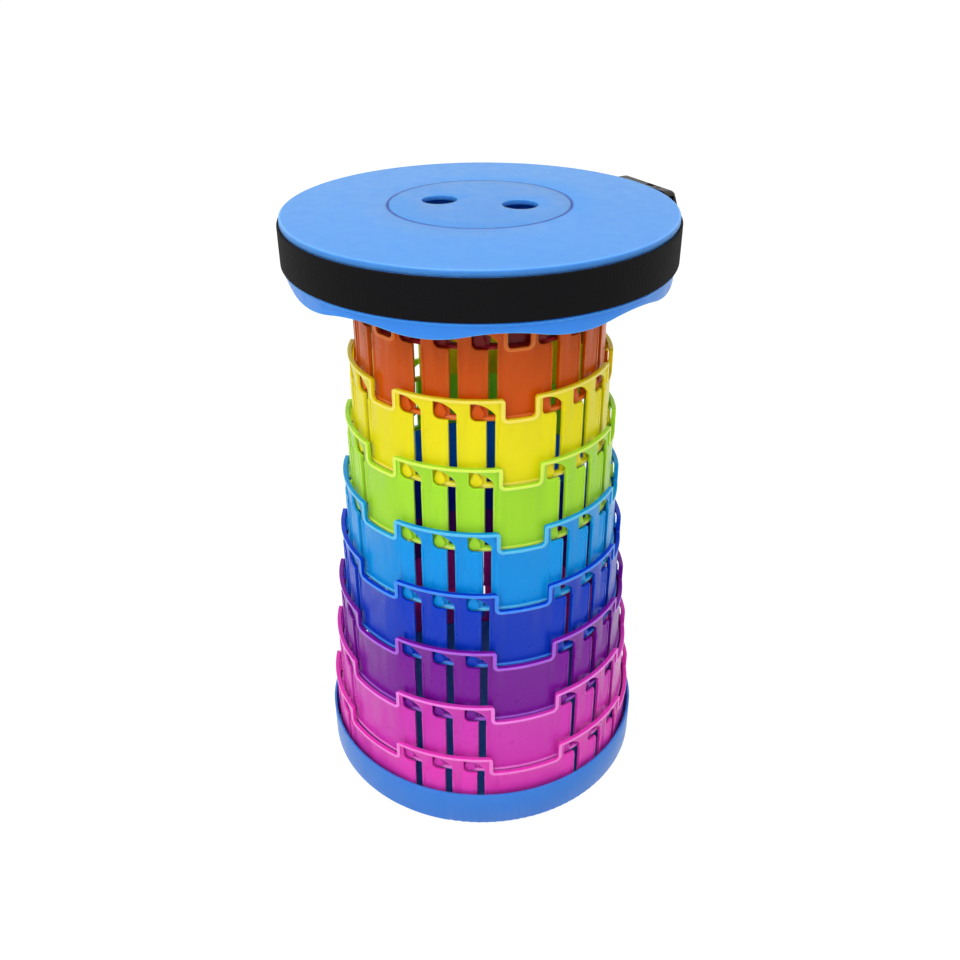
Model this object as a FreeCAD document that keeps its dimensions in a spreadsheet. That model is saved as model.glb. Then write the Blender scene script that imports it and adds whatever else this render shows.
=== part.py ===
import FreeCAD, Part
import math
import os
import re
import Sketcher

# Collapsible telescopic stool, raised to its full height.
# Z is up, the origin is on the floor at the centre of the base. Nine moulded
# rings nest inside each other; ring 0 is the innermost and carries the seat,
# ring 8 is the outermost and stands in the base. The front is -Y.

RINGS = ("red", "orange", "yellow", "lime", "sky", "blue", "purple", "pink", "rose")
LAST = len(RINGS) - 1
SECTORS = 6          # raised portions round each rim
WAVES = 9            # waves along the lower edge of the seat's skirt
PADS = 6             # rubber feet under the base

# Driving dimensions in millimetres: (name, value)
SIZES = (
    # the nest of rings
    ("inner_ring_radius", 79.0),      # outside of the innermost ring's wall
    ("ring_wall", 2.0),
    ("ring_gap", 2.76),               # free space between two walls
    ("ring_height", 60.2),
    ("overlap", 15.5),                # how much two raised rings still share
    ("rim_step", 13.9),               # raised rim above the low rim
    ("raised_width", 71.0),           # straight-sided width of a raised portion
    ("rim_round", 2.0),               # its upper corners
    ("foot_round", 2.5),              # the hollow corners where it leaves the low rim
    ("bead_height", 2.0),
    ("bead_proud", 0.9),
    ("lip_height", 1.6),
    ("lip_proud", 1.2),
    # slots and windows
    ("slot_pitch", 23.06),
    ("slot_shift", 4.27),             # middle slot, to the right of its portion's centre
    ("slot_width", 5.4),
    ("slot_floor", 3.0),              # web that closes the slots at the bottom
    ("window_width", 15.0),
    ("window_top", 2.3),              # all four are below the raised rim
    ("window_shoulder", 9.8),
    ("window_ledge", 14.4),
    ("window_arch", 17.0),            # radius of the window's arched top
    ("pocket_radius", 3.9),           # rounded corner where the lug rests
    ("rib_width", 1.3),               # ribs along both sides of a slot
    ("rib_proud", 0.45),
    # lugs
    ("lug_radius", 3.7),
    ("lug_tip", 1.4),
    ("lug_start", 1.2),               # underside of the lug above the ring's foot
    ("lug_reach", 5.4),               # between the centres of its two ends
    ("slide_clear", 0.4),             # between a lug and the wall that it runs along
    # seat
    ("seat_radius", 125.0),
    ("seat_crown", 3.2),
    ("plate_thickness", 2.6),
    ("plate_wall", 2.0),
    ("edge_drop", 1.1),               # the solid edge below the plate's underside
    ("edge_round", 1.2),
    ("groove_depth", 0.6),            # the strap's groove, in from the edge
    ("stack_clear", 0.4),             # ring rims to the plate's underside, folded
    ("hub_depth", 8.0),
    ("hub_clear", 0.3),
    ("shoulder_width", 3.3),          # pad that the innermost ring's rim meets
    ("web_thickness", 1.6),
    ("cover_radius", 57.5),
    ("cover_thickness", 2.6),
    ("cover_gap", 0.4),
    ("cover_ledge", 3.6),
    ("cup_depth", 24.0),
    ("finger_radius", 11.5),
    ("finger_spacing", 52.0),
    ("screw_circle", 69.0),
    ("boss_radius", 4.0),
    ("tab_thickness", 3.0),
    ("tab_width", 12.0),
    ("screw_radius", 1.5),
    ("screw_clear", 0.1),
    ("screw_length", 9.0),
    ("screw_head_radius", 3.2),
    ("screw_head_height", 1.9),
    # skirt
    ("skirt_wall", 1.8),
    ("skirt_clear", 0.5),             # round the base, folded
    ("flange_height", 1.9),
    ("flange_proud", 0.4),
    ("flange_round", 0.6),
    ("skirt_depth", 6.5),             # from the flange to the mean of the waves
    ("wave_height", 4.4),
    ("register_height", 6.0),
    ("register_clear", 0.15),
    # strap and buckle
    ("strap_width", 25.0),
    ("strap_thickness", 2.0),
    ("strap_clear", 0.45),
    ("strap_back_clear", 0.2),
    ("strap_leave", 27.0),            # degrees from the buckle to where the strap leaves the rim
    ("strap_tail", 22.0),             # sewn length folded back from each bar
    ("buckle_bearing", 43.0),         # degrees from +X to the buckle
    ("buckle_length", 57.8),
    ("buckle_width", 31.5),
    ("buckle_thickness", 9.6),
    ("buckle_wall", 2.2),
    ("buckle_corner", 5.0),
    ("buckle_round", 4.0),            # the long edges of its outer face
    ("buckle_clear", 0.4),
    ("socket_length", 33.0),
    ("side_window_length", 13.0),
    ("side_window_start", 6.0),       # from the mouth of the socket
    ("bar_radius", 1.6),
    ("bar_clear", 0.2),
    ("bar_inset", 3.4),               # middle of a bar from the buckle's end
    ("prong_thickness", 4.2),
    ("prong_width", 4.2),
    ("prong_length", 18.5),
    ("prong_head", 6.0),              # length of a prong's wide head
    ("prong_slant", 2.4),
    ("guide_width", 4.0),
    ("guide_length", 14.0),
    # base
    ("base_height", 29.6),
    ("base_wall", 1.6),
    ("base_round", 2.0),
    ("base_clear", 0.3),              # outermost lugs to the base's wall
    ("catch_width", 9.0),
    ("catch_height", 3.0),
    ("catch_clear", 0.3),
    ("floor_thickness", 1.6),
    ("pad_proud", 0.6),
    ("pad_sunk", 0.8),
    ("pad_radius", 11.0),
    ("pad_circle", 100.0),
    ("pad_clear", 0.1),
)

doc = FreeCAD.newDocument("telescopic_stool")
sheet = doc.addObject("Spreadsheet::Sheet", "Dims")
for row, (name, value) in enumerate(SIZES, start=1):
    sheet.set(f"A{row}", name)
    sheet.set(f"B{row}", str(value))
    sheet.setAlias(f"B{row}", name)
doc.recompute()

# Lengths that follow from the driving ones, as the text of an expression.
DERIVED = {
    "ring_pitch": "(ring_wall + ring_gap)",
    "travel": "(ring_height - overlap)",
    "low_rim": "(ring_height - rim_step)",
    "bead_under": "(low_rim - bead_height)",
    "half_raised": "(raised_width / 2)",
    "lug_proud": "(ring_gap - slide_clear)",
    "lug_foot": "(lug_start + lug_radius)",
    "lug_height": "(lug_foot + lug_reach + lug_tip)",
    "lug_offset": "(window_width - slot_width / 2 - pocket_radius)",
    "rib_start": "(lug_height + rib_width)",
    "rib_reach": "(slot_width / 2 + rib_width)",
    "outermost": f"(inner_ring_radius + {LAST} * ring_pitch)",
    "base_inner": "(outermost + lug_proud + base_clear)",
    "base_outer": "(base_inner + base_wall)",
    "floor_top": "(pad_proud + floor_thickness)",
    "hub_outer": "(inner_ring_radius - ring_wall - hub_clear)",
    "hub_inner": "(hub_outer - plate_wall)",
    "hub_shoulder": "(hub_outer + shoulder_width)",
    "crown_radius": "((seat_radius * seat_radius + seat_crown * seat_crown) / (2 * seat_crown))",
    "cover_pocket": "(cover_radius + cover_gap)",
    "cover_rim": "(cover_pocket + plate_wall)",
    "cup_radius": "(cover_pocket - cover_ledge)",
    "cup_outer": "(cup_radius + plate_wall)",
    "groove_radius": "(seat_radius - groove_depth)",
    "groove_bottom": "(edge_drop + strap_width + 2 * strap_clear)",
    "wall_inner": "(groove_radius - plate_wall)",
    "boss_depth": "(rim_step + stack_clear)",
    "skirt_inner": "(base_outer + skirt_clear)",
    "skirt_outer": "(skirt_inner + skirt_wall)",
    "register_outer": "(wall_inner - register_clear)",
    "wave_half": f"(skirt_outer * sin({180 / WAVES} deg))",
    "wave_bend": "((wave_half * wave_half / 4 + wave_height * wave_height / 4) / wave_height)",
    "strap_inner": "(groove_radius + strap_back_clear)",
    "strap_outer": "(strap_inner + strap_thickness)",
    "strap_middle": "(edge_drop + strap_clear + strap_width / 2)",
    "loop_radius": "(bar_radius + bar_clear)",
    "fold_radius": "(loop_radius + strap_thickness)",
    "bar_height": "(strap_inner + fold_radius)",
    "leave_sin": "sin(strap_leave * 1 deg)",
    "leave_cos": "cos(strap_leave * 1 deg)",
    "run_length": "((bar_height * leave_sin - bar_place) / leave_cos)",
    "bar_distance": "(run_length * leave_sin + bar_height * leave_cos)",
    "buckle_back": "(seat_radius + flange_proud + buckle_clear)",
    "bar_place": "(buckle_length / 2 - bar_inset)",
    "socket_mouth": "(socket_length - buckle_length / 2)",
}
WORDS = re.compile(r"\b(" + "|".join(DERIVED) + r")\b")
CELLS = re.compile(r"\b(" + "|".join(name for name, value in SIZES) + r")\b")


def bound(text):
    """An expression that names cells, ready for the document."""
    while WORDS.search(text):
        text = WORDS.sub(lambda word: DERIVED[word.group()], text)
    return CELLS.sub(r"Dims.\1", text)


def size(text):
    """The present value of an expression."""
    return float(sheet.evalExpression(bound(text)))


def crown(radius):
    """Height of the crowned seat at a radius, above its edge."""
    return f"(seat_crown - crown_radius + sqrt(crown_radius * crown_radius - ({radius}) * ({radius})))"


def body(label, lift="0", turn="0"):
    """A body whose Label names its file, lifted and turned about Z by so many degrees."""
    made = doc.addObject("PartDesign::Body", label)
    made.Label = label
    upright = FreeCAD.Vector(0, 0, 1)
    made.Placement = FreeCAD.Placement(FreeCAD.Vector(), FreeCAD.Rotation(upright, size(turn)))
    if lift != "0":
        made.setExpression("Placement.Base.z", bound(lift))
    if turn != "0":
        made.setExpression("Placement.Rotation.Angle", f"({bound(turn)}) * 1 deg")
    return made


def origin(owner, role):
    return next(item for item in owner.Origin.OriginFeatures if item.Role == role)


def sketch(owner, role, lift="0"):
    """An empty sketch on one of the body's own planes, lifted along its normal."""
    drawn = owner.newObject("Sketcher::SketchObject", "Sketch")
    drawn.AttachmentSupport = (origin(owner, role), [""])
    drawn.MapMode = "FlatFace"
    if lift != "0":
        drawn.setExpression("AttachmentOffset.Base.z", bound(lift))
    return drawn


def held(kind, geometry, place, text):
    """A constraint that holds one coordinate of a point at an expression, or lays it on the axis."""
    value = size(text)
    if abs(value) < 1e-9:
        axis = -2 if kind == "DistanceX" else -1
        return Sketcher.Constraint("PointOnObject", geometry, place, axis), ""
    return Sketcher.Constraint(kind, -1, 1, geometry, place, value), text


def bend(number, radius):
    """A constraint that holds the radius of an arc or circle at an expression."""
    return Sketcher.Constraint("Radius", number, size(radius)), radius


def fix(drawn, pairs):
    """Add the constraints all at once, which solves the sketch once, and bind each to its expression."""
    numbers = drawn.addConstraint([constraint for constraint, text in pairs])
    for number, (constraint, text) in zip(numbers, pairs):
        if text:
            drawn.setExpression(f"Constraints[{number}]", bound(text))


def outline(drawn, corners, arcs=None):
    """A closed outline. arcs: side number -> (radius, 1 for a left turn or -1)."""
    arcs = arcs or {}
    points = [FreeCAD.Vector(size(x), size(y), 0) for x, y in corners]
    sides, pairs = [], []
    for i, start in enumerate(points):
        end = points[(i + 1) % len(points)]
        if i not in arcs:
            sides.append((drawn.addGeometry(Part.LineSegment(start, end)), 1, 2))
            continue
        radius, turn = arcs[i]
        chord = end - start
        left = FreeCAD.Vector(-chord.y, chord.x, 0).normalize()
        rise = math.sqrt(max(size(radius) ** 2 - chord.Length ** 2 / 4, 0))
        centre = (start + end) / 2 + left * (rise * turn)
        first, second = (start, end) if turn > 0 else (end, start)
        angles = [math.atan2(p.y - centre.y, p.x - centre.x) for p in (first, second)]
        circle = Part.Circle(centre, FreeCAD.Vector(0, 0, 1), size(radius))
        number = drawn.addGeometry(Part.ArcOfCircle(circle, *angles))
        sides.append((number, 1, 2) if turn > 0 else (number, 2, 1))
        pairs.append(bend(number, radius))
    for i, (x, y) in enumerate(corners):
        number, begin, finish = sides[i]
        before, unused, joint = sides[i - 1]
        pairs.append((Sketcher.Constraint("Coincident", before, joint, number, begin), ""))
        pairs += [held("DistanceX", number, begin, x), held("DistanceY", number, begin, y)]
    fix(drawn, pairs)


def circle(drawn, x, y, radius):
    """A circle whose centre and radius follow expressions."""
    centre = FreeCAD.Vector(size(x), size(y), 0)
    number = drawn.addGeometry(Part.Circle(centre, FreeCAD.Vector(0, 0, 1), size(radius)))
    fix(drawn, [bend(number, radius), held("DistanceX", number, 3, x), held("DistanceY", number, 3, y)])


def rectangle(drawn, left, low, right, high):
    outline(drawn, [(left, low), (right, low), (right, high), (left, high)])


def revolve(owner, corners, arcs=None, cut=False):
    """Turn an outline of radius and height about Z, to add or to cut."""
    drawn = sketch(owner, "XZ_Plane")
    outline(drawn, corners, arcs)
    turned = owner.newObject("PartDesign::Groove" if cut else "PartDesign::Revolution", "Turned")
    turned.Refine = False
    turned.Profile = (drawn, [""])
    turned.ReferenceAxis = (drawn, ["V_Axis"])
    turned.Angle = 360
    return turned


def extrude(owner, drawn, length=None, cut=False, back=False):
    """Pad or pocket a sketch: by a length, or a pocket right through."""
    made = owner.newObject("PartDesign::Pocket" if cut else "PartDesign::Pad", "Cut" if cut else "Pad")
    made.Refine = False
    made.Profile = (drawn, [""])
    made.Reversed = back
    if length is None:
        made.Type = "ThroughAll"
    else:
        made.setExpression("Length", bound(length))
    return made


def around(owner, features, count):
    """Repeat features round the body's Z axis."""
    pattern = owner.newObject("PartDesign::PolarPattern", "Around")
    pattern.Refine = False
    pattern.Originals = features
    pattern.Axis = (origin(owner, "Z_Axis"), [""])
    pattern.Angle = 360
    pattern.Occurrences = count
    owner.Tip = pattern
    return pattern


def rounded(owner, feature, radius, chosen):
    """Round those edges of a feature for which chosen(edge) is true."""
    doc.recompute()
    names = [f"Edge{i}" for i, edge in enumerate(feature.Shape.Edges, start=1) if chosen(edge)]
    soft = owner.newObject("PartDesign::Fillet", "Round")
    soft.Base = (feature, names)
    soft.setExpression("Radius", bound(radius))


def slots():
    """The middles of the three slots of a raised portion, across its face."""
    return [f"(slot_shift + {step} * slot_pitch)" for step in (-1, 0, 1)]


# Rings. Each is a tube with a castellated, beaded rim. A raised portion has
# three windows, each running into a ribbed slot, and three lugs at its foot.
# The rim's band is opened into panels, the lugs and ribs are trimmed to their
# height by a turned cut, and the wall then closes the panels from behind.
def ring(number):
    colour = RINGS[number]
    radius = f"(inner_ring_radius + {number} * ring_pitch)"
    bore = f"({radius} - ring_wall)"
    steps_up = LAST - number
    made = body(f"ring_{colour}", lift=f"floor_top + {steps_up} * travel")

    inside = f"({radius} / 2)"
    outside = f"({radius} + half_raised)"
    revolve(made, [
        (inside, "bead_under"), (f"{radius} + bead_proud", "bead_under"),
        (f"{radius} + bead_proud", "ring_height"), (inside, "ring_height"),
    ])
    panel = sketch(made, "XZ_Plane")
    edge, swept = "(half_raised - bead_height)", "(half_raised + foot_round)"
    outline(panel, [
        (f"-{swept}", "bead_under"), (swept, "bead_under"),
        (edge, "low_rim + foot_round"), (edge, "ring_height - bead_height"),
        (f"-{edge}", "ring_height - bead_height"), (f"-{edge}", "low_rim + foot_round"),
    ], {1: ("(foot_round + bead_height)", -1), 5: ("(foot_round + bead_height)", -1)})
    around(made, [extrude(made, panel, cut=True, back=True)], SECTORS)

    drawn = sketch(made, "XZ_Plane", lift=inside)
    for middle in slots():
        lug(drawn, f"({middle} - lug_offset)")
        rectangle(drawn, f"{middle} - rib_reach", "rib_start", f"{middle} + rib_reach", "bead_under")
    around(made, [extrude(made, drawn, f"{inside} + ring_gap * 2")], SECTORS)
    revolve(made, [
        (f"{radius} + lug_proud", "-lip_height"), (outside, "-lip_height"),
        (outside, "bead_under"), (f"{radius} + rib_proud", "bead_under"),
        (f"{radius} + rib_proud", "rib_start"), (f"{radius} + lug_proud", "rib_start"),
    ], cut=True)

    revolve(made, [
        (inside, "0"), (f"{radius} + lip_proud", "0"), (f"{radius} + lip_proud", "lip_height"),
        (radius, "lip_height + lip_proud"), (radius, "ring_height"), (inside, "ring_height"),
    ])
    drawn = sketch(made, "XY_Plane", lift="ring_height")
    circle(drawn, "0", "0", bore)
    extrude(made, drawn, cut=True)

    gap = sketch(made, "YZ_Plane")
    across = f"({radius} * sin({180 / SECTORS} deg - asin(half_raised / {radius})))"
    above = "(ring_height + rim_round)"
    outline(gap, [
        (f"{across} - foot_round", "low_rim"), (across, "low_rim + foot_round"),
        (across, "ring_height - rim_round"), (f"{across} + rim_round", "ring_height"),
        (f"{across} + rim_round", above), (f"-{across} - rim_round", above),
        (f"-{across} - rim_round", "ring_height"), (f"-{across}", "ring_height - rim_round"),
        (f"-{across}", "low_rim + foot_round"), (f"foot_round - {across}", "low_rim"),
    ], {0: ("foot_round", 1), 2: ("rim_round", -1), 6: ("rim_round", -1), 8: ("foot_round", 1)})
    gap_cut = extrude(made, gap, cut=True, back=True)
    windows = sketch(made, "XZ_Plane")
    for middle in slots():
        window(windows, middle)
    window_cut = extrude(made, windows, cut=True, back=True)
    around(made, [gap_cut, window_cut], SECTORS)
    return made


def lug(drawn, x):
    """A pear-shaped lug: a round foot, narrowing to a small round head."""
    base, tip = "lug_foot", "(lug_foot + lug_reach)"
    lean = "((lug_radius - lug_tip) / lug_reach)"
    flat = f"sqrt(1 - {lean} * {lean})"
    outline(drawn, [
        (f"{x} - lug_radius * {flat}", f"{base} + lug_radius * {lean}"),
        (x, f"{base} - lug_radius"),
        (f"{x} + lug_radius * {flat}", f"{base} + lug_radius * {lean}"),
        (f"{x} + lug_tip * {flat}", f"{tip} + lug_tip * {lean}"),
        (f"{x} - lug_tip * {flat}", f"{tip} + lug_tip * {lean}"),
    ], {0: ("lug_radius", 1), 1: ("lug_radius", 1), 3: ("lug_tip", 1)})


def window(drawn, middle):
    """An arched window with a resting ledge on its left, open into a slot."""
    right = f"{middle} + slot_width / 2"
    left = f"({right} - window_width)"
    outline(drawn, [
        (right, "slot_floor"),
        (right, "ring_height - window_shoulder"),
        (left, "ring_height - window_top"),
        (left, "ring_height - window_ledge + pocket_radius"),
        (f"{left} + pocket_radius", "ring_height - window_ledge"),
        (f"{middle} - slot_width / 2", "ring_height - window_ledge"),
        (f"{middle} - slot_width / 2", "slot_floor"),
    ], {1: ("window_arch", 1), 3: ("pocket_radius", 1)})


rings = [ring(number) for number in range(len(RINGS))]

# The innermost ring also has six tabs at its low rim, through which screws
# hold it against the seat's bosses.
inner = rings[0]
drawn = sketch(inner, "XY_Plane", lift="low_rim - tab_thickness")
tab_half = "tab_width / 2"
wall_middle = "inner_ring_radius - ring_wall / 2"
outline(drawn, [
    ("screw_circle", f"-{tab_half}"), (wall_middle, f"-{tab_half}"), (wall_middle, tab_half),
    ("screw_circle", tab_half), (f"screw_circle - {tab_half}", "0"),
], {3: (tab_half, 1), 4: (tab_half, 1)})
circle(drawn, "screw_circle", "0", "screw_radius + screw_clear")
around(inner, [extrude(inner, drawn, "tab_thickness")], SECTORS)

# Seat. Its own zero height is the plane just above the ring rims. A crowned
# plate with a finger cup in the middle, a hub that centres the innermost
# ring, a groove for the strap round its edge, and webs and bosses below.
SEAT_HEIGHT = f"floor_top + ring_height + stack_clear + {LAST} * travel"
cover_top = f"plate_thickness + {crown('cover_pocket')}"
cover_floor = f"({cover_top} - cover_thickness)"
ledge_under = f"({cover_floor} - plate_wall)"
seat = body("seat_plate", lift=SEAT_HEIGHT)
revolve(seat, [
    ("0", "-cup_depth - plate_wall"), ("cup_outer", "-cup_depth - plate_wall"), ("cup_outer", ledge_under),
    ("cover_rim", ledge_under), ("cover_rim", crown("cover_rim")),
    ("hub_inner", crown("hub_inner")), ("hub_inner", "-hub_depth"), ("hub_outer", "-hub_depth"),
    ("hub_outer", "-stack_clear"), ("hub_shoulder", "-stack_clear"), ("hub_shoulder", crown("hub_shoulder")),
    ("wall_inner", crown("wall_inner")), ("wall_inner", "-groove_bottom"),
    ("groove_radius", "-groove_bottom"), ("groove_radius", "-edge_drop"),
    ("seat_radius", "-edge_drop"), ("seat_radius", "plate_thickness - edge_round"),
    ("seat_radius - edge_round", f"plate_thickness + {crown('seat_radius - edge_round')}"),
    ("cover_pocket", cover_top), ("cover_pocket", cover_floor),
    ("cup_radius", cover_floor), ("cup_radius", "-cup_depth"), ("0", "-cup_depth"),
], {4: ("crown_radius", -1), 10: ("crown_radius", -1), 16: ("edge_round", 1), 17: ("crown_radius", 1)})
drawn = sketch(seat, "XY_Plane", lift="-boss_depth")
circle(drawn, "screw_circle", "0", "boss_radius")
circle(drawn, "screw_circle", "0", "screw_radius")
boss = extrude(seat, drawn, f"boss_depth + {crown('screw_circle')} + plate_thickness / 2")
drawn = sketch(seat, "XY_Plane", lift="-hub_depth")
half_web = "web_thickness / 2"
rectangle(drawn, f"-{half_web}", "-hub_inner - plate_wall / 2", half_web, "-cup_outer + plate_wall / 2")
web = extrude(seat, drawn, f"hub_depth + {crown('hub_inner')}")
around(seat, [boss, web], SECTORS)

# Centre cover: a crowned disc with two finger holes, dropped into the seat.
cover = body("centre_cover", lift=SEAT_HEIGHT)
revolve(cover, [
    ("0", cover_floor), ("cover_radius", cover_floor),
    ("cover_radius", f"plate_thickness + {crown('cover_radius')}"), ("0", "plate_thickness + seat_crown"),
], {2: ("crown_radius", 1)})
drawn = sketch(cover, "XY_Plane", lift="plate_thickness + seat_crown")
for side in ("", "-"):
    circle(drawn, f"{side}finger_spacing / 2", "0", "finger_radius")
extrude(cover, drawn, cut=True)

# Six screws through the tabs into the bosses.
screws = body("hub_screws", lift=SEAT_HEIGHT)
tab_under = "(boss_depth + tab_thickness)"
drawn = sketch(screws, "XY_Plane", lift=f"-{tab_under} - screw_head_height")
circle(drawn, "screw_circle", "0", "screw_head_radius")
head = extrude(screws, drawn, "screw_head_height")
drawn = sketch(screws, "XY_Plane", lift=f"-{tab_under}")
circle(drawn, "screw_circle", "0", "screw_radius")
shank = extrude(screws, drawn, "screw_length")
around(screws, [head, shank], SECTORS)

# Skirt: a hoop under the seat whose collar stands inside the seat's wall. Its
# flange closes the strap's groove from below, and its lower edge is wavy.
# It is turned so that a low point of the wave lies at the front.
skirt = body("seat_skirt", lift=SEAT_HEIGHT, turn=str(180 / WAVES))
flange_under = "(groove_bottom + flange_height)"
lowest = f"({flange_under} + skirt_depth + wave_height / 2)"
flange_outer = "seat_radius + flange_proud"
revolve(skirt, [
    ("skirt_inner", f"-{lowest}"), ("skirt_outer", f"-{lowest}"), ("skirt_outer", f"-{flange_under}"),
    (f"{flange_outer} - flange_round", f"-{flange_under}"), (flange_outer, f"flange_round - {flange_under}"),
    (flange_outer, "-groove_bottom - flange_round"), (f"{flange_outer} - flange_round", "-groove_bottom"),
    ("register_outer", "-groove_bottom"),
    ("register_outer", "register_height - groove_bottom"),
    ("register_outer - skirt_wall", "register_height - groove_bottom"),
    ("register_outer - skirt_wall", f"-{flange_under}"), ("skirt_inner", f"-{flange_under}"),
], {3: ("flange_round", 1), 5: ("flange_round", 1)})
drawn = sketch(skirt, "XZ_Plane")
wave_mean = f"(wave_height / 2 - {lowest})"
outline(drawn, [
    ("-wave_half", f"-{lowest}"), ("-wave_half / 2", wave_mean), ("wave_half / 2", wave_mean),
    ("wave_half", f"-{lowest}"), ("wave_half", f"-{lowest} - wave_height"),
    ("-wave_half", f"-{lowest} - wave_height"),
], {0: ("wave_bend", 1), 1: ("wave_bend", -1), 2: ("wave_bend", 1)})
around(skirt, [extrude(skirt, drawn, cut=True, back=True)], WAVES)

# Strap and buckle stand in one frame of their own, turned so that the buckle
# faces this frame's -Y.
BUCKLE_TURN = "buckle_bearing + 90"


def strap_end(side):
    """Corners from the rim out to the bar, round it and back, for one end of the strap."""

    def corner(along, out):
        x = f"({out}) * leave_sin - ({along}) * leave_cos"
        return f"{side} * ({x})", f"-({along}) * leave_sin - ({out}) * leave_cos"

    tail = "run_length - strap_tail"
    return [
        corner("0", "strap_inner"), corner("run_length", "strap_inner"),
        corner("run_length + fold_radius", "bar_height"), corner("run_length", "bar_height + fold_radius"),
        corner(tail, "strap_outer + bar_clear + strap_thickness"), corner(tail, "strap_outer + bar_clear"),
        corner("run_length", "bar_height + loop_radius"), corner("run_length + loop_radius", "bar_height"),
        corner("run_length", "strap_outer"), corner("0", "strap_outer"),
    ]


strap = body("strap_webbing", lift=f"{SEAT_HEIGHT} - strap_middle - strap_width / 2", turn=BUCKLE_TURN)
outside = [("strap_outer", "0"), ("0", "strap_outer"), ("-strap_outer", "0")]
inside = [("-strap_inner", "0"), ("0", "strap_inner"), ("strap_inner", "0")]
corners = strap_end(1) + outside + strap_end(-1)[::-1] + inside
bends = {side: ("fold_radius", 1) for side in (1, 2, 19, 20)}
bends.update({side: ("loop_radius", -1) for side in (6, 7, 14, 15)})
bends.update({side: ("strap_outer", 1) for side in range(9, 13)})
bends.update({side: ("strap_inner", -1) for side in range(22, 26)})
drawn = sketch(strap, "XY_Plane")
outline(drawn, corners, bends)
extrude(strap, drawn, "strap_width")


def buckle_half(label, end, face):
    """A round-edged slab of the buckle from a face to its end, with a notch and a bar for the strap."""
    half = body(label, lift=f"{SEAT_HEIGHT} - strap_middle", turn=BUCKLE_TURN)
    tip = f"({end} * buckle_length / 2)"
    shoulder = f"({end} * (buckle_length / 2 - buckle_corner))"
    edge = "(buckle_width / 2)"
    drawn = sketch(half, "XZ_Plane", lift="buckle_back")
    outline(drawn, [
        (face, f"-{edge}"), (shoulder, f"-{edge}"), (tip, f"buckle_corner - {edge}"),
        (tip, f"{edge} - buckle_corner"), (shoulder, edge), (face, edge),
    ], {1: ("buckle_corner", end), 3: ("buckle_corner", end)})
    slab = extrude(half, drawn, "buckle_thickness")
    outside = -size("buckle_back + buckle_thickness")
    rounded(half, slab, "buckle_round", lambda edge: edge.BoundBox.YMax < outside + 1e-6
            and max(abs(point.X - size(face)) for point in edge.Vertexes) > 1e-6)
    opening = "(strap_width / 2 + strap_clear)"
    throat = f"({end} * (bar_place - fold_radius - bar_clear))"
    drawn = sketch(half, "XZ_Plane", lift="buckle_back + buckle_thickness")
    rectangle(drawn, throat, f"-{opening}", f"{end} * buckle_length", opening)
    extrude(half, drawn, cut=True)
    drawn = sketch(half, "XY_Plane", lift=f"(bar_radius - {edge})")
    circle(drawn, f"{end} * bar_place", "-bar_distance", "bar_radius")
    extrude(half, drawn, "buckle_width - 2 * bar_radius")
    return half


# Socket: hollow from its mouth, with a window in each narrow side.
socket = buckle_half("buckle_socket", -1, "socket_mouth")
cavity = "(buckle_width / 2 - buckle_wall)"
drawn = sketch(socket, "XZ_Plane", lift="buckle_back + buckle_thickness - buckle_wall")
rectangle(drawn, "socket_mouth - prong_length - buckle_wall", f"-{cavity}", "socket_mouth", cavity)
extrude(socket, drawn, "buckle_thickness - 2 * buckle_wall", cut=True)
drawn = sketch(socket, "XY_Plane", lift="buckle_width")
window_end = "(socket_mouth - side_window_start)"
rectangle(drawn, f"{window_end} - side_window_length", "-buckle_back - buckle_thickness + buckle_wall",
          window_end, "-buckle_back - buckle_wall")
extrude(socket, drawn, cut=True)

# Plug: two prongs whose wide heads stand in the socket's windows, and a guide.
plug_face = "(socket_mouth + buckle_clear)"
plug = buckle_half("buckle_plug", 1, plug_face)
drawn = sketch(plug, "XZ_Plane", lift="buckle_back + buckle_thickness / 2 - prong_thickness / 2")
prong_out = f"({cavity} - buckle_clear)"
prong_in = f"({prong_out} - prong_width)"
prong_tip = f"({plug_face} - prong_length)"
root = f"({plug_face} + buckle_wall)"
for side in (1, -1):
    outline(drawn, [
        (root, f"{side} * {prong_in}"), (root, f"{side} * {prong_out}"),
        (f"{prong_tip} + prong_head", f"{side} * {prong_out}"),
        (f"{prong_tip} + prong_head", f"{side} * (buckle_width / 2 - buckle_clear)"),
        (f"{prong_tip} + prong_slant", f"{side} * (buckle_width / 2 - buckle_clear)"),
        (prong_tip, f"{side} * ({prong_out} - prong_slant / 2)"), (prong_tip, f"{side} * {prong_in}"),
    ])
rectangle(drawn, f"{plug_face} - guide_length", "-guide_width / 2", root, "guide_width / 2")
extrude(plug, drawn, "prong_thickness")

# Base: a shallow dish. Catches on its wall lie over the outermost ring's
# middle lugs, and shallow round pockets below hold the feet.
base = body("base_dish")
revolve(base, [
    ("0", "pad_proud"), ("base_outer - base_round", "pad_proud"), ("base_outer", "pad_proud + base_round"),
    ("base_outer", "base_height"), ("base_inner", "base_height"), ("base_inner", "floor_top"),
    ("0", "floor_top"),
], {1: ("base_round", 1)})
drawn = sketch(base, "XY_Plane", lift="floor_top + lug_height + catch_clear")
catch = "(slot_shift - lug_offset)"
rectangle(drawn, f"{catch} - catch_width / 2", "-base_inner - base_wall / 2",
          f"{catch} + catch_width / 2", "-outermost - catch_clear")
around(base, [extrude(base, drawn, "catch_height")], SECTORS)
drawn = sketch(base, "XY_Plane", lift="pad_proud")
circle(drawn, "pad_circle", "0", "pad_radius + pad_clear")
around(base, [extrude(base, drawn, "pad_sunk", cut=True, back=True)], PADS)

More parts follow.
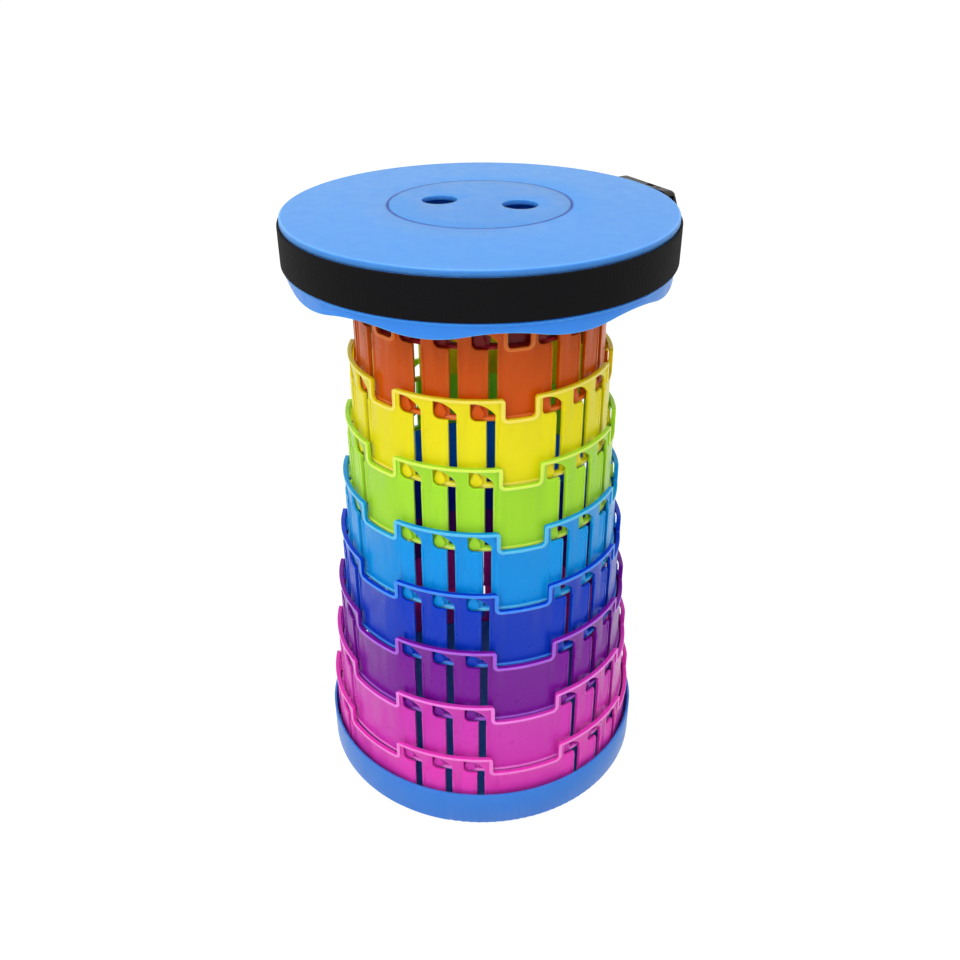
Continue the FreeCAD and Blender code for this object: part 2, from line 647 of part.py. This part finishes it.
# Six rubber feet.
feet = body("foot_pads")
drawn = sketch(feet, "XY_Plane")
circle(drawn, "pad_circle", "0", "pad_radius")
around(feet, [extrude(feet, drawn, "pad_proud + pad_sunk - pad_clear")], PADS)

doc.recompute()
failed = [item.Label for item in doc.Objects if {"Invalid", "Error"} & set(item.State)]
pieces = [item for item in doc.Objects if item.TypeId == "PartDesign::Body"]
failed += [item.Label for item in pieces if item.Shape.isNull() or not item.Shape.isValid()]
if failed:
    raise SystemExit(f"failed: {', '.join(failed)}")

os.makedirs("parts", exist_ok=True)
for item in pieces:
    item.Shape.exportStep(f"parts/{item.Label}.step")
    print(f"{item.Label}: {len(item.Shape.Solids)} solids, {item.Shape.Volume / 1000:.2f} cm3")
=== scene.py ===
import math

import bpy
import numpy as np
from mathutils import Matrix, Vector


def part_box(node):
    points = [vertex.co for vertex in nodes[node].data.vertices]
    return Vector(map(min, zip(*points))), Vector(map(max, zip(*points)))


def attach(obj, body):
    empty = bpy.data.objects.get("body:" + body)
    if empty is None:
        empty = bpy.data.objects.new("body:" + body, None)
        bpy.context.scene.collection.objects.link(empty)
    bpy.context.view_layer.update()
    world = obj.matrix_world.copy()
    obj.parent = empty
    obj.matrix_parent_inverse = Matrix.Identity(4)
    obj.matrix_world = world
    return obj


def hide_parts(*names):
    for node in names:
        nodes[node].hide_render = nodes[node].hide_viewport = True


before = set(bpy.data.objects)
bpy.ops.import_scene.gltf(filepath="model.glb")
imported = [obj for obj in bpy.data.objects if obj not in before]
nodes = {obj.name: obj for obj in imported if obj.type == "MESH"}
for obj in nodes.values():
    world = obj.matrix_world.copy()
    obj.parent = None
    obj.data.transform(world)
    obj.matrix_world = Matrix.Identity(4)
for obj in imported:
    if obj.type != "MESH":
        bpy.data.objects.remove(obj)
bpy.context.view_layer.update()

# Camera. The photograph was taken from 0.62 m in front of the stool's axis and
# 0.58 m above the floor, a little round to the right of the stool's front,
# with a lens of about 37 mm.
MM = 0.001
camera_distance, camera_height = 618.1 * MM, 584.9 * MM
round_to_right, look_down = math.radians(14.02), math.radians(30.28)
look_aside, lean = math.radians(-0.06), math.radians(-0.305)
sensor_width_mm, focal_length_mm = 36.0, 36.71
forward = Vector((math.sin(look_aside) * math.cos(look_down),
                  math.cos(look_aside) * math.cos(look_down), -math.sin(look_down)))
right = Vector((math.cos(look_aside), -math.sin(look_aside), 0))
up = right.cross(forward)
leant_right = right * math.cos(lean) + up * math.sin(lean)
leant_up = up * math.cos(lean) - right * math.sin(lean)
axes = Matrix((leant_right, leant_up, -forward)).transposed()
turn = Matrix.Rotation(round_to_right, 4, "Z")
camera_data = bpy.data.cameras.new("camera")
camera_data.sensor_width, camera_data.lens = sensor_width_mm, focal_length_mm
camera = bpy.data.objects.new("camera", camera_data)
camera.matrix_world = turn @ Matrix.Translation((0, -camera_distance, camera_height)) @ axes.to_4x4()
bpy.context.scene.collection.objects.link(camera)
bpy.context.scene.camera = camera
bpy.context.scene.view_settings.view_transform = "Standard"

# Light. A white studio: even light from all round, a softbox overhead, and a
# stronger one high at the front on the left, which gives the rims their glints.
def linear(hex_colour):
    """sRGB hex to linear RGBA: each channel c is c/12.92 below 0.04045, else ((c+0.055)/1.055)^2.4."""
    c = np.array([int(hex_colour[i:i + 2], 16) / 255 for i in (1, 3, 5)])
    return (*np.where(c <= 0.04045, c / 12.92, ((c + 0.055) / 1.055) ** 2.4).tolist(), 1.0)


def add(tree, kind, inputs=None, **settings):
    """A node of that kind with its settings; each input is a value, or the socket linked to it."""
    node = tree.nodes.new(kind)
    for name, value in settings.items():
        setattr(node, name, value)
    for name, value in (inputs or {}).items():
        if isinstance(value, bpy.types.NodeSocket):
            tree.links.new(value, node.inputs[name])
        else:
            node.inputs[name].default_value = value
    return node


world = bpy.data.worlds.new("studio")
bpy.context.scene.world = world
world.use_nodes = True
world.node_tree.nodes.clear()


def seen(tree):
    """1 for rays that show a thing, straight, mirrored or through glass, and 0 for rays that light it."""
    path = add(tree, "ShaderNodeLightPath")
    straight = add(tree, "ShaderNodeMath", operation="MAXIMUM",
                   inputs={0: path.outputs["Is Camera Ray"], 1: path.outputs["Is Glossy Ray"]})
    return add(tree, "ShaderNodeMath", operation="MAXIMUM",
               inputs={0: straight.outputs[0], 1: path.outputs["Is Transmission Ray"]}).outputs[0]


room_light, backdrop_light, softbox_side = 0.6, 1.0, 1.2
room = world.node_tree
lit = add(room, "ShaderNodeBackground", {"Color": linear("#ffffff"), "Strength": room_light})
backdrop = add(room, "ShaderNodeBackground", {"Color": linear("#ffffff"), "Strength": backdrop_light})
mixed = add(room, "ShaderNodeMixShader", {0: seen(room), 1: lit.outputs[0], 2: backdrop.outputs[0]})
add(room, "ShaderNodeOutputWorld", {"Surface": mixed.outputs[0]})

for name, place, target, watts in (
        ("overhead_softbox", (-0.1, -0.2, 1.9), (0, 0, 0.3), 11.5),
        ("front_softbox", (-0.45, -1.5, 1.7), (0, 0, 0.25), 21.0)):
    lamp_data = bpy.data.lights.new(name, "AREA")
    lamp_data.energy, lamp_data.size = watts, softbox_side
    lamp = bpy.data.objects.new(name, lamp_data)
    lamp.matrix_world = turn @ Matrix.Translation(place)
    lamp.rotation_mode = "QUATERNION"
    direction = turn.to_3x3() @ (Vector(target) - Vector(place))
    lamp.rotation_quaternion = direction.to_track_quat("-Z", "Y")
    bpy.context.scene.collection.objects.link(lamp)

# Floor. A wide sheet of white matte paper. It shows as white as the backdrop,
# but keeps the stool's soft shadow, and it throws back light as paper does.
floor_half = 12.0
paper_white, shadow_share, paper_glow = "#f2f2f2", "#8c8c8c", 0.86
floor_mesh = bpy.data.meshes.new("floor")
corners = [(-floor_half, -floor_half, 0), (floor_half, -floor_half, 0), (floor_half, floor_half, 0),
           (-floor_half, floor_half, 0)]
floor_mesh.from_pydata(corners, [], [(0, 1, 2, 3)])
floor = bpy.data.objects.new("floor", floor_mesh)
bpy.context.scene.collection.objects.link(floor)


def blank_material(name):
    """A new material with an empty node tree, and that tree."""
    material = bpy.data.materials.new(name)
    material.use_nodes = True
    material.node_tree.nodes.clear()
    return material, material.node_tree


paper, tree = blank_material("matte_paper")
place = add(tree, "ShaderNodeTexCoord").outputs["Object"]
fibre = add(tree, "ShaderNodeTexNoise", {"Vector": place, "Scale": 1 / (4 * MM)})
bump = add(tree, "ShaderNodeBump",
           {"Height": fibre.outputs["Fac"], "Strength": 0.03, "Distance": 0.1 * MM})
matte = add(tree, "ShaderNodeBsdfDiffuse", {"Color": linear(paper_white), "Normal": bump.outputs[0]})
thin = add(tree, "ShaderNodeBsdfDiffuse", {"Color": linear(shadow_share), "Normal": bump.outputs[0]})
glow = add(tree, "ShaderNodeEmission", {"Color": linear("#ffffff"), "Strength": paper_glow})
shown = add(tree, "ShaderNodeAddShader", {0: thin.outputs[0], 1: glow.outputs[0]})
mixed = add(tree, "ShaderNodeMixShader", {0: seen(tree), 1: matte.outputs[0], 2: shown.outputs[0]})
add(tree, "ShaderNodeOutputMaterial", {"Surface": mixed.outputs[0]})
floor_mesh.materials.append(paper)

# Base. A shallow dish of polypropylene, injection moulded with a fine spark
# texture outside; the six feet are discs of moulded rubber pressed into it.
plastic_ior = 1.49                  # polypropylene's, and acetal's is 1.48
flow_length, scuff_length, band_fade = 45 * MM, 9 * MM, 0.3 * MM
bevel_segments, corner_angle = 2, math.radians(40)
same_place, same_plane = 0.002 * MM, math.radians(0.5)      # closer vertices and faces are one


def moulded(name, hex_colour, light_hex, roughness=0.34, grain=0.5 * MM, gloss_level=0.3,
            depth=0.85, reach=3.3 * MM, bands=()):
    """A moulded plastic, satin and milky: flow marks a few centimetres long shift its colour between two
    shades, a spark-eroded grain (drawn coarser than its real 0.1 mm) breaks the gloss, and scuffs dull
    it. A share of the light, depth, passes in as far as reach. Each band (inner radius, outer radius,
    colour) recolours what stands that far from the stool's axis, fading over 0.3 mm at both edges."""
    material, tree = blank_material(name)
    place = add(tree, "ShaderNodeTexCoord").outputs["Object"]
    flow = add(tree, "ShaderNodeTexNoise",
               {"Vector": place, "Scale": 1 / flow_length, "Detail": 3.0, "Roughness": 0.55})
    colour = add(tree, "ShaderNodeMix", data_type="RGBA",
                 inputs={0: flow.outputs["Fac"], 6: linear(hex_colour), 7: linear(light_hex)}).outputs[2]
    level = add(tree, "ShaderNodeVectorMath", {0: place, 1: (1.0, 1.0, 0.0)}, operation="MULTIPLY")
    radius = add(tree, "ShaderNodeVectorMath", {0: level.outputs[0]}, operation="LENGTH").outputs["Value"]
    for inner, outer, band_hex in bands:
        beyond = add(tree, "ShaderNodeMapRange", interpolation_type="SMOOTHSTEP",
                     inputs={"Value": radius, "From Min": inner, "From Max": inner + band_fade})
        within = add(tree, "ShaderNodeMapRange", interpolation_type="SMOOTHSTEP",
                     inputs={"Value": radius, "From Min": outer + band_fade, "From Max": outer})
        inside = add(tree, "ShaderNodeMath", operation="MULTIPLY",
                     inputs={0: beyond.outputs[0], 1: within.outputs[0]})
        colour = add(tree, "ShaderNodeMix", data_type="RGBA",
                     inputs={0: inside.outputs[0], 6: colour, 7: linear(band_hex)}).outputs[2]
    fine = add(tree, "ShaderNodeTexNoise", {"Vector": place, "Scale": 1 / grain, "Detail": 2.0})
    scuff = add(tree, "ShaderNodeTexNoise",
                {"Vector": place, "Scale": 1 / scuff_length, "Detail": 5.0, "Roughness": 0.7})
    gloss = add(tree, "ShaderNodeMapRange",
                {"Value": scuff.outputs["Fac"], "From Min": 0.3, "From Max": 0.75,
                 "To Min": roughness - 0.05, "To Max": roughness + 0.09})
    bump = add(tree, "ShaderNodeBump",
               {"Height": fine.outputs["Fac"], "Strength": 0.25, "Distance": 0.05 * MM})
    shader = add(tree, "ShaderNodeBsdfPrincipled",
                 {"Base Color": colour, "Roughness": gloss.outputs[0], "IOR": plastic_ior,
                  "Specular IOR Level": gloss_level, "Subsurface Weight": depth,
                  "Subsurface Radius": (1.0, 1.0, 1.0), "Subsurface Scale": reach,
                  "Normal": bump.outputs[0]})
    add(tree, "ShaderNodeOutputMaterial", {"Surface": shader.outputs[0]})
    return material


def finish_node(name, material):
    """The CAD node keeps its shape and takes this material."""
    piece = nodes[name]
    piece.data.materials.clear()
    piece.data.materials.append(material)
    return piece


def soften(piece, width):
    """Rounds every corner sharper than 40 degrees by width, as the tool's own small radii do on a
    moulding, after joining the CAD mesh's loose triangles and dissolving the flat ones."""
    joined = piece.modifiers.new("joined", "WELD")
    joined.merge_threshold = same_place
    flat = piece.modifiers.new("flat", "DECIMATE")
    flat.decimate_type, flat.angle_limit = "DISSOLVE", same_plane
    radius = piece.modifiers.new("tool_radius", "BEVEL")
    radius.width, radius.segments, radius.limit_method = width, bevel_segments, "ANGLE"
    radius.angle_limit, radius.harden_normals, radius.use_clamp_overlap = corner_angle, True, True


base_plastic = moulded("base_polypropylene", "#3279ce", "#377ed3")
soften(finish_node("base_dish", base_plastic), 0.6 * MM)

# Moulded rubber is nearly black and dull, with paler dust in its pores.
rubber, tree = blank_material("moulded_rubber")
place = add(tree, "ShaderNodeTexCoord").outputs["Object"]
dust = add(tree, "ShaderNodeTexNoise", {"Vector": place, "Scale": 1 / (3 * MM), "Detail": 4.0})
tint = add(tree, "ShaderNodeMix", data_type="RGBA",
           inputs={0: dust.outputs["Fac"], 6: linear("#17171a"), 7: linear("#2c2c2e")})
pores = add(tree, "ShaderNodeBump",
            {"Height": dust.outputs["Fac"], "Strength": 0.3, "Distance": 0.1 * MM})
shader = add(tree, "ShaderNodeBsdfPrincipled",
             {"Base Color": tint.outputs[2], "Roughness": 0.8, "Normal": pores.outputs[0]})
add(tree, "ShaderNodeOutputMaterial", {"Surface": shader.outputs[0]})
soften(finish_node("foot_pads", rubber), 0.3 * MM)

# Rings. Nine nested polypropylene mouldings, each in its own pigment. Their
# walls are smooth and glossy and light passes into them; the bead round each
# rim is painted paler than the wall, a painted highlight.
# The third colour of each ring is the painted highlight on its bead.
ring_colours = {
    "red": ("#7d0b0d", "#8a0e10", "#a81c22"),
    "orange": ("#cc5300", "#d65a04", "#e8782a"),
    "yellow": ("#e8da0c", "#efe215", "#ffe45a"),
    "lime": ("#a0d729", "#a9de34", "#d2f05a"),
    "sky": ("#008fdc", "#0997e3", "#5cbdec"),
    "blue": ("#0034b7", "#073bbf", "#3e89ef"),
    "purple": ("#760c92", "#7c139a", "#a85cd8"),
    "pink": ("#c831ae", "#cf3ab4", "#f07cdc"),
    "rose": ("#d735ae", "#dd3db4", "#ee78cc"),
}
innermost_radius, ring_pitch = 79.0 * MM, 4.76 * MM
# The painted highlight colours what stands 0.5 to 1.2 mm out from the ring's wall.
bead_highlight_from, bead_highlight_to = 0.5 * MM, 1.2 * MM       # how far the bead stands out from its wall
for number, (colour, (deep, light, bead_highlight)) in enumerate(ring_colours.items()):
    wall = innermost_radius + number * ring_pitch
    plastic = moulded(f"{colour}_polypropylene", deep, light, roughness=0.3, grain=0.6 * MM,
                      gloss_level=0.22, bands=[(wall + bead_highlight_from, wall + bead_highlight_to, bead_highlight)])
    soften(finish_node(f"ring_{colour}", plastic), 0.4 * MM)

# Screws. Six zinc-plated pan heads under the hub, rolled and tumbled, so the
# steel is satin with small dull patches.
steel, tree = blank_material("zinc_plated_steel")
place = add(tree, "ShaderNodeTexCoord").outputs["Object"]
patch = add(tree, "ShaderNodeTexNoise", {"Vector": place, "Scale": 1 / (0.8 * MM), "Detail": 3.0})
tone = add(tree, "ShaderNodeMix", data_type="RGBA",
           inputs={0: patch.outputs["Fac"], 6: linear("#9a9ca0"), 7: linear("#c6c8ca")})
dull = add(tree, "ShaderNodeMapRange", {"Value": patch.outputs["Fac"], "To Min": 0.25, "To Max": 0.5})
shader = add(tree, "ShaderNodeBsdfPrincipled",
             {"Base Color": tone.outputs[2], "Metallic": 1.0, "Roughness": dull.outputs[0]})
add(tree, "ShaderNodeOutputMaterial", {"Surface": shader.outputs[0]})
soften(finish_node("hub_screws", steel), 0.4 * MM)

# Seat. A crowned plate, its centre cover and the skirt below, all injection
# moulded in light blue polypropylene with a satin grain. The cover drops into
# the plate's pocket, and the skirt is held by the plate's wall.
seat_roughness, cover_reach = 0.42, 8.0 * MM

# A painted shade darkens the line round the cover, a painted highlight makes
# the rounded corner of the rim paler, and the cup under the finger holes is
# painted a lighter, clearer blue for the light that the thin cover lets through.
# Painted shade in the gap round the cover.
cover_gap_shade = (56.5 * MM, 58.9 * MM, "#1f56aa")
# Painted highlight on the rounded corner of the rim.
rim_corner_highlight = (123.5 * MM, 124.6 * MM, "#5c9ae6")
# Painted light: the cup is painted a lighter blue for the light that the cover lets through.
cup_painted_light = (-1.0 * MM, 56.2 * MM, "#30acff")
seat_plastic = moulded("seat_polypropylene", "#4087d1", "#458dd5", seat_roughness,
                       bands=[cup_painted_light, cover_gap_shade, rim_corner_highlight])
soften(finish_node("seat_plate", seat_plastic), 0.4 * MM)
cover_plastic = moulded("cover_polypropylene", "#3d82cc", "#4288d0", seat_roughness, depth=1.0,
                        reach=cover_reach, bands=[cover_gap_shade])
soften(finish_node("centre_cover", cover_plastic), 0.4 * MM)
skirt_plastic = moulded("skirt_polypropylene", "#338be7", "#3790ed")
soften(finish_node("seat_skirt", skirt_plastic), 0.3 * MM)

# Strap. Black 25 mm nylon webbing, woven flat with a rib at every pick. It lies
# in the groove round the seat, and each end goes round its bar of the buckle
# and is sewn back on itself with a box of black thread.
strap_low, strap_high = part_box("strap_webbing")
bearing = math.radians(43.0)        # where the buckle sits, from +X
leave = math.radians(27.0)          # how far from there the strap leaves the groove
strap_thick, loop_radius, tail_length = 2.0 * MM, 1.8 * MM, 22.0 * MM
tail_out = 2.15 * MM                # the sewn tail lies this far outside the strap
strap_mid = -strap_low.x - strap_thick / 2
strap_half = (strap_high.z - strap_low.z) / 2
strap_level = (strap_high.z + strap_low.z) / 2
bar_across = 25.5 * MM              # from the buckle's middle to each bar
warp_pitch, pick_pitch, pick_height = 1.3 * MM, 2.4 * MM, 0.06 * MM
line_step, fold_steps, rim_steps = 0.4 * MM, 40, 700
fold = loop_radius + strap_thick / 2
# The straight run, from the groove to the bar, lies along along_run, and
# out_of_run points away from the seat, square to it.
run = ((strap_mid + fold) * math.sin(leave) - bar_across) / math.cos(leave)
along_run = np.array([-math.cos(leave), -math.sin(leave)])
out_of_run = np.array([math.sin(leave), -math.cos(leave)])


def strap_line(step):
    """Centre line seen from above, with the buckle at -Y: the sewn tail, half a circle round the bar, a
    straight run to the rim, the long arc round the seat, and the mirror image of the first three, in
    equal steps."""
    bar = along_run * run + out_of_run * (strap_mid + fold)
    turning = np.radians(np.linspace(90, -90, fold_steps))[:, None]
    half = np.vstack([out_of_run * (strap_mid + tail_out) + along_run * (run - tail_length),
                      bar + fold * (out_of_run * np.sin(turning) + along_run * np.cos(turning))])
    arc = np.linspace(leave - math.pi / 2, 3 * math.pi / 2 - leave, rim_steps)
    rim = strap_mid * np.column_stack([np.cos(arc), np.sin(arc)])
    points = np.vstack([half, rim, half[::-1] * np.array([-1, 1])])
    length = np.concatenate([[0], np.cumsum(np.linalg.norm(np.diff(points, axis=0), axis=1))])
    even = np.linspace(0, length[-1], int(length[-1] / step))
    return np.column_stack([np.interp(even, length, points[:, i]) for i in (0, 1)]), even


def to_seat(across, level):
    """Plan positions with the buckle at -Y, turned to the buckle's bearing, with their heights added:
    x' = x cos a - y sin a and y' = x sin a + y cos a, where a is the bearing plus a quarter turn."""
    spin = bearing + math.pi / 2
    x, y = across[..., 0], across[..., 1]
    return np.stack([x * math.cos(spin) - y * math.sin(spin),
                     x * math.sin(spin) + y * math.cos(spin), level], -1)


def tube_faces(rows, columns):
    """Quads of a grid of rows whose columns close on themselves, and one face over each end."""
    r, c = np.meshgrid(np.arange(rows - 1), np.arange(columns), indexing="ij")
    after = (c + 1) % columns
    quads = np.stack([r * columns + c, r * columns + after,
                      (r + 1) * columns + after, (r + 1) * columns + c], -1)
    return quads.reshape(-1, 4).tolist() + [list(range(columns))[::-1],
                                            list(range((rows - 1) * columns, rows * columns))]


def new_piece(name, vertices, faces):
    """An object at the origin, made of these vertices and faces."""
    mesh = bpy.data.meshes.new(name)
    mesh.from_pydata(vertices.reshape(-1, 3).tolist(), [], faces)
    piece = bpy.data.objects.new(name, mesh)
    bpy.context.scene.collection.objects.link(piece)
    return piece


# The section is flat with round edges: edge * (cos t, sin t), moved out to the
# four corners of what the thickness and the width leave. The ripple of the
# picks, a cosine along the strap, is added to both flat sides.
line, along = strap_line(line_step)
tangent = np.gradient(line, axis=0)
tangent /= np.linalg.norm(tangent, axis=1)[:, None]
normal = np.column_stack([tangent[:, 1], -tangent[:, 0]])
edge = 0.9 * MM
turns = np.radians(np.arange(0, 360, 15))       # 24 points round the section
section_out = edge * np.cos(turns) + np.sign(np.cos(turns)) * (strap_thick / 2 - edge - pick_height)
section_up = edge * np.sin(turns) + np.sign(np.sin(turns)) * (strap_half - edge)
ripple = pick_height * np.cos(2 * math.pi * along / pick_pitch)[:, None] * np.cos(turns)
reach = section_out + ripple
plan = line[:, None, :] + normal[:, None, :] * reach[..., None]
strap_points = to_seat(plan, np.broadcast_to(section_up + strap_level, reach.shape))
strap = new_piece("strap", strap_points, tube_faces(*reach.shape))
loops = np.zeros(len(strap.data.loops), int)
strap.data.loops.foreach_get("vertex_index", loops)
cloth_map = strap.data.uv_layers.new(name="cloth")
cloth_places = np.column_stack([along[loops // len(turns)], section_up[loops % len(turns)]])
cloth_map.data.foreach_set("uv", cloth_places.astype(np.float32).ravel())

# Nylon yarn is fine and smooth, so the webbing is near black with a soft
# satin sheen; its warp cords are drawn at their real size.
webbing, tree = blank_material("black_nylon_webbing")
cloth = add(tree, "ShaderNodeUVMap", uv_map="cloth")
split = add(tree, "ShaderNodeSeparateXYZ", {0: cloth.outputs[0]})
waves = []
for socket, pitch in ((split.outputs[1], warp_pitch), (split.outputs[0], pick_pitch)):
    angle = add(tree, "ShaderNodeMath", {0: socket, 1: 2 * math.pi / pitch}, operation="MULTIPLY")
    waves.append(add(tree, "ShaderNodeMath", {0: angle.outputs[0]}, operation="SINE").outputs[0])
over = add(tree, "ShaderNodeMath", {0: waves[0], 1: waves[1]}, operation="MULTIPLY")
fuzz = add(tree, "ShaderNodeTexNoise",
           {"Vector": cloth.outputs[0], "Scale": 1 / (0.7 * MM), "Detail": 3.0})
height = add(tree, "ShaderNodeMath", {0: over.outputs[0], 1: fuzz.outputs["Fac"]}, operation="ADD")
shade = add(tree, "ShaderNodeMapRange",
            {"Value": height.outputs[0], "From Min": -1.0, "From Max": 2.0})
tint = add(tree, "ShaderNodeMix", data_type="RGBA",
           inputs={0: shade.outputs[0], 6: linear("#040405"), 7: linear("#0e0e11")})
relief = add(tree, "ShaderNodeBump",
             {"Height": height.outputs[0], "Strength": 0.5, "Distance": 0.15 * MM})
shader = add(tree, "ShaderNodeBsdfPrincipled",
             {"Base Color": tint.outputs[2], "Roughness": 0.72, "Specular IOR Level": 0.1,
              "Sheen Weight": 0.02, "Sheen Roughness": 0.4, "Sheen Tint": linear("#c8b8a8"),
              "Normal": relief.outputs[0]})
add(tree, "ShaderNodeOutputMaterial", {"Surface": shader.outputs[0]})
strap.data.materials.append(webbing)
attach(strap, "seat")
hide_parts("strap_webbing")

# Stitching. Bonded black polyester thread, about eight stitches to the inch,
# sewn as a box with a cross through each folded end of the strap.
stitch_length, stitch_gap, thread_radius = 2.6 * MM, 0.7 * MM, 0.32 * MM
box_near, box_far, box_up = 3.0 * MM, 17.0 * MM, 9.0 * MM
box = np.array([(box_near, -box_up), (box_far, -box_up), (box_far, box_up), (box_near, box_up)])
seams = [(box[i], box[(i + 1) % 4]) for i in range(4)] + [(box[0], box[2]), (box[1], box[3])]
middles, ways = [], []
for start, end in seams:
    seam_length = np.linalg.norm(end - start)
    count = int(seam_length / (stitch_length + stitch_gap))
    places = (np.arange(count) + 0.5)[:, None] / count
    middles.append(start + (end - start) * places)
    ways.append(np.repeat([(end - start) / seam_length], count, axis=0))
middles, ways = np.vstack(middles), np.vstack(ways)

# Each stitch is a small capsule along its seam, with share from -1 at one end
# to 1 at the other: its girth falls as the root of 1 - share^4, and its middle
# is bowed out of the cloth by half the thread's radius times 1 - share^2.
steps, around = 7, 8
share = np.linspace(-1, 1, steps)
girth = thread_radius * np.sqrt(np.clip(1 - share ** 4, 0.02, 1))
bow = thread_radius * 0.5 * (1 - share ** 2)
spoke = np.linspace(0, 2 * math.pi, around, endpoint=False)
centre = (middles[:, None, None, :]
          + ways[:, None, None, :] * (share * stitch_length / 2)[None, :, None, None])
side = np.stack([-ways[:, 1], ways[:, 0]], -1)[:, None, None, :]
on_cloth = centre + side * (girth[:, None] * np.cos(spoke))[None, :, :, None]
lift_off = strap_mid + tail_out + strap_thick / 2 + (bow[:, None] + girth[:, None] * np.sin(spoke))[None]
lift_off = np.broadcast_to(lift_off, on_cloth.shape[:-1])

# The other end is the mirror image, with its faces turned round to match.
one_end = out_of_run * lift_off[..., None] + along_run * (run - on_cloth[..., :1])
both_ends = np.concatenate([one_end, one_end * np.array([-1, 1])])
levels = strap_level + np.concatenate([on_cloth[..., 1]] * 2)
thread_faces = []
for stitch in range(len(both_ends)):
    first, mirrored = stitch * steps * around, stitch >= len(middles)
    thread_faces += [[first + corner for corner in (face[::-1] if mirrored else face)]
                     for face in tube_faces(steps, around)]
thread = new_piece("strap_stitching", to_seat(both_ends, levels), thread_faces)

# Bonded thread is smoother and a little paler than the webbing that it holds.
bonded, tree = blank_material("black_bonded_thread")
place = add(tree, "ShaderNodeTexCoord").outputs["Object"]
twist = add(tree, "ShaderNodeTexNoise", {"Vector": place, "Scale": 1 / (0.4 * MM), "Detail": 2.0})
tint = add(tree, "ShaderNodeMix", data_type="RGBA",
           inputs={0: twist.outputs["Fac"], 6: linear("#0b0b0c"), 7: linear("#1d1c1e")})
relief = add(tree, "ShaderNodeBump",
             {"Height": twist.outputs["Fac"], "Strength": 0.4, "Distance": 0.1 * MM})
shader = add(tree, "ShaderNodeBsdfPrincipled",
             {"Base Color": tint.outputs[2], "Roughness": 0.5, "Normal": relief.outputs[0]})
add(tree, "ShaderNodeOutputMaterial", {"Surface": shader.outputs[0]})
thread.data.materials.append(bonded)
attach(thread, "seat")

# Buckle. A side-release buckle of acetal in two halves, moulded matt in a
# brownish black; the plug's prongs snap into the side windows of the socket.
acetal = moulded("buckle_acetal", "#1c1918", "#2a2624", roughness=0.42, grain=0.8 * MM, depth=0.0)
soften(finish_node("buckle_socket", acetal), 0.5 * MM)
soften(finish_node("buckle_plug", acetal), 0.5 * MM)
